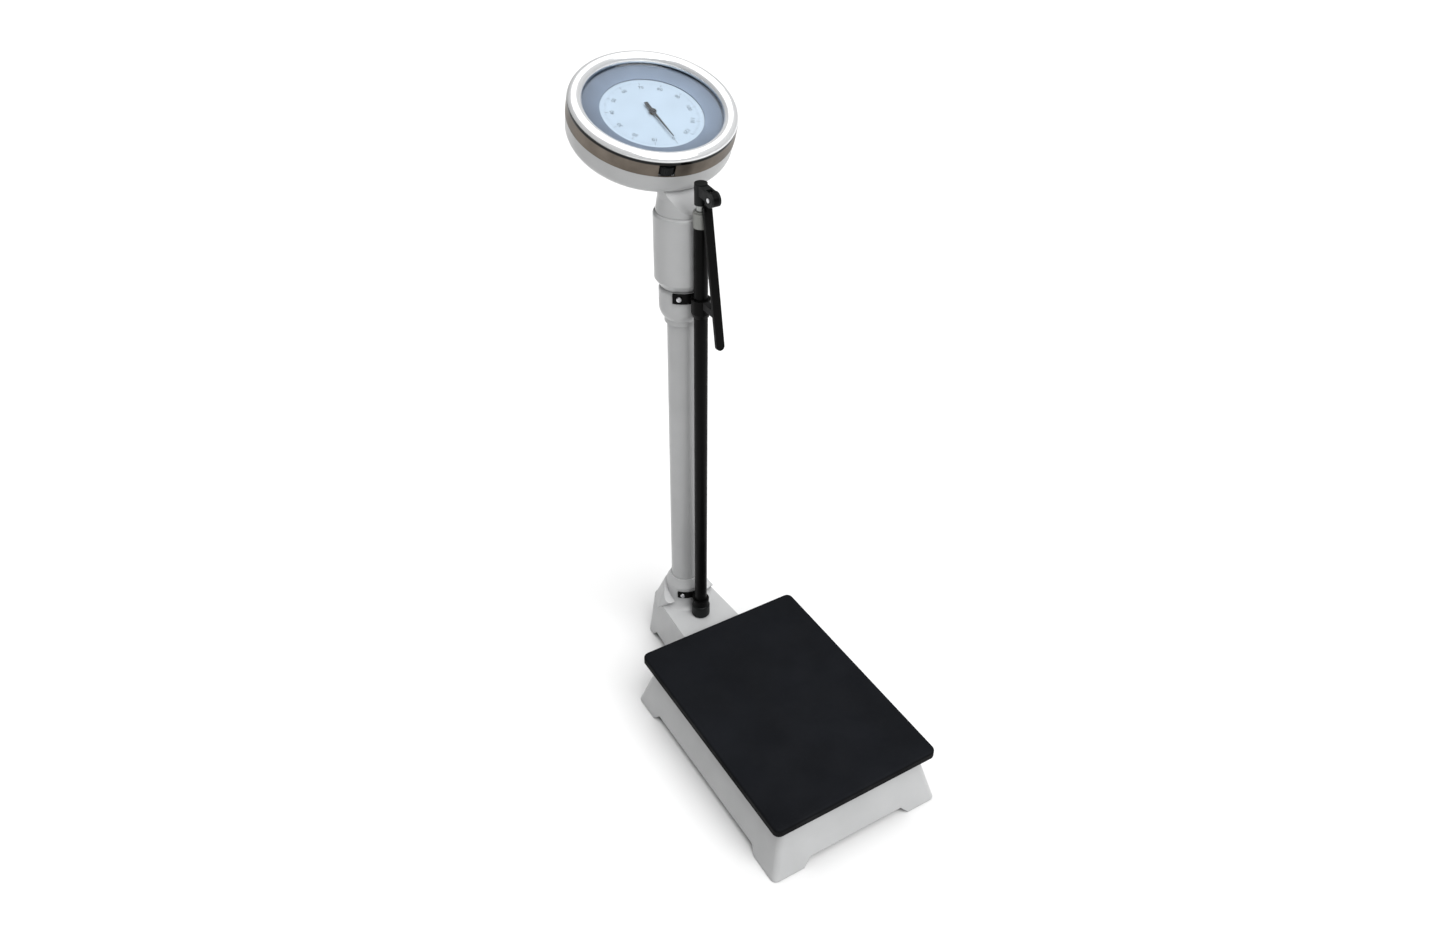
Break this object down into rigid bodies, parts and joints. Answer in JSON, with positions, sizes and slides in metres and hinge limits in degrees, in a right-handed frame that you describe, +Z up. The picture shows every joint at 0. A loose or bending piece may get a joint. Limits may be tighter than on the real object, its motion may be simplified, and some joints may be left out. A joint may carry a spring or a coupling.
{
  "type": "dial column scale",
  "caption": "Mechanical dial column scale: a rubber-topped platform on a tapered base, a tall column with a tilted round dial, and a telescopic height rod with a folding arm.",
  "frame": {"origin": "on the floor at the middle of the scale's outline, under the platform's rear half", "axes": "+X across the platform to the right of someone facing the dial, +Y from the platform towards the column, +Z up"},
  "size_m": [0.2788, 0.6681, 0.911],
  "materials": {
    "grey_paint": "semi-gloss stove enamel",
    "pad_rubber": "matt",
    "mat_rubber": "matt, finely grained",
    "zinc_steel": "zinc plated",
    "lever_steel": "primed",
    "movement_brass": "machined",
    "chrome": "polished",
    "glass": "clear",
    "dial_surround": "satin blue-grey",
    "dial_face": "matt printed",
    "pointer": "matt black",
    "black_plastic": "moulded",
    "black_paint": "gloss black",
    "rod_alloy": "satin anodised",
    "collar_plastic": "moulded grey"
  },
  "bodies": {
    "base": {"base_casting": "grey_paint", "foot_pads": "pad_rubber", "column_foot": "grey_paint", "foot_bolts": "zinc_steel", "fulcrum_stands": "zinc_steel", "column_tube": "grey_paint", "ball_collar": "grey_paint", "spring_housing": "grey_paint", "neck": "grey_paint", "main_spring": "zinc_steel", "head_shell": "grey_paint", "bezel_ring": "chrome", "glass": "glass", "dial_surround": "dial_surround", "movement_frame": "movement_brass", "crank_bracket": "zinc_steel", "crank_pin": "zinc_steel", "zero_wheel_pin": "zinc_steel", "rod_outer_tube": "black_paint", "rod_bottom_cap": "black_plastic", "lower_bracket": "black_paint", "upper_bracket": "black_paint", "bracket_screws": "zinc_steel", "arm_clip": "pad_rubber"},
    "platform": {"platform_plate": "lever_steel", "platform_posts": "zinc_steel", "platform_mat": "mat_rubber"},
    "main_lever": {"main_lever": "lever_steel", "main_lever_knives": "zinc_steel"},
    "short_lever": {"short_lever": "lever_steel", "short_lever_knives": "zinc_steel"},
    "pull_rod": {"pull_rod": "zinc_steel", "spring_cap": "zinc_steel"},
    "bell_crank": {"bell_crank": "movement_brass"},
    "rack": {"rack": "movement_brass"},
    "pointer": {"pointer": "pointer", "pinion_spindle": "movement_brass"},
    "dial_plate": {"dial_plate": "dial_face"},
    "zero_wheel": {"zero_wheel": "black_plastic"},
    "middle_rod": {"rod_middle_tube": "rod_alloy", "rod_middle_collar": "collar_plastic"},
    "inner_rod": {"rod_inner_tube": "rod_alloy", "hinge_head": "black_plastic", "hinge_pin": "zinc_steel"},
    "measuring_arm": {"measuring_arm": "black_paint"}
  },
  "joints": [
    {"name": "pull_rod_slide", "type": "slide", "parent": "base", "child": "pull_rod", "axis": [0, 0, -1], "range_m": [0, 0.016], "stiffness_N_per_m": 7500, "springref_m": -0.004, "deforming": ["main_spring"]},
    {"name": "platform_press", "type": "slide", "parent": "base", "child": "platform", "axis": [0, 0, -1], "range_m": [0, 0.00156]},
    {"name": "main_lever_tilt", "type": "hinge", "parent": "base", "child": "main_lever", "pos_m": [0, -0.29011, 0.038], "axis": [-1, 0, 0], "range_deg": [0, 2.19]},
    {"name": "short_lever_tilt", "type": "hinge", "parent": "base", "child": "short_lever", "pos_m": [0, 0.00989, 0.054], "axis": [1, 0, 0], "range_deg": [0, 2.19]},
    {"name": "bell_crank_tilt", "type": "hinge", "parent": "base", "child": "bell_crank", "pos_m": [0, 0.17789, 0.808], "axis": [1, 0, 0], "range_deg": [0, 31.1]},
    {"name": "rack_slide", "type": "slide", "parent": "base", "child": "rack", "axis": [0, -0.9455, -0.3256], "range_m": [0, 0.0165]},
    {"name": "pointer_turn", "type": "hinge", "parent": "base", "child": "pointer", "pos_m": [0, 0.21689, 0.872], "axis": [0, 0.3256, -0.9455], "range_deg": [0, 335]},
    {"name": "dial_turn", "type": "hinge", "parent": "base", "child": "dial_plate", "pos_m": [0, 0.21689, 0.872], "axis": [0, -0.3256, 0.9455], "range_deg": [-12, 12]},
    {"name": "zero_wheel_turn", "type": "hinge", "parent": "base", "child": "zero_wheel", "pos_m": [-0.03075, 0.12741, 0.84119], "axis": [0, -0.3256, 0.9455], "range_deg": [-89, 89]},
    {"name": "middle_rod_slide", "type": "slide", "parent": "base", "child": "middle_rod", "axis": [0, 0, 1], "range_m": [0, 0.6]},
    {"name": "inner_rod_slide", "type": "slide", "parent": "middle_rod", "child": "inner_rod", "axis": [0, 0, 1], "range_m": [0, 0.6]},
    {"name": "measuring_arm_swing", "type": "hinge", "parent": "inner_rod", "child": "measuring_arm", "pos_m": [0, 0.06939, 0.801], "axis": [-1, 0, 0], "range_deg": [0, 79.5]}
  ],
  "couplings": [
    {"joint": "platform_press", "follows": "pull_rod_slide", "ratio": 0.091324},
    {"joint": "main_lever_tilt", "follows": "pull_rod_slide", "rad_per_m": 2.2831},
    {"joint": "short_lever_tilt", "follows": "pull_rod_slide", "rad_per_m": 2.2831},
    {"joint": "bell_crank_tilt", "follows": "pull_rod_slide", "rad_per_m": 33.333},
    {"joint": "rack_slide", "follows": "pull_rod_slide", "ratio": 1},
    {"joint": "pointer_turn", "follows": "pull_rod_slide", "rad_per_m": 363.64},
    {"joint": "zero_wheel_turn", "follows": "dial_turn", "ratio": -7.2667}
  ]
}
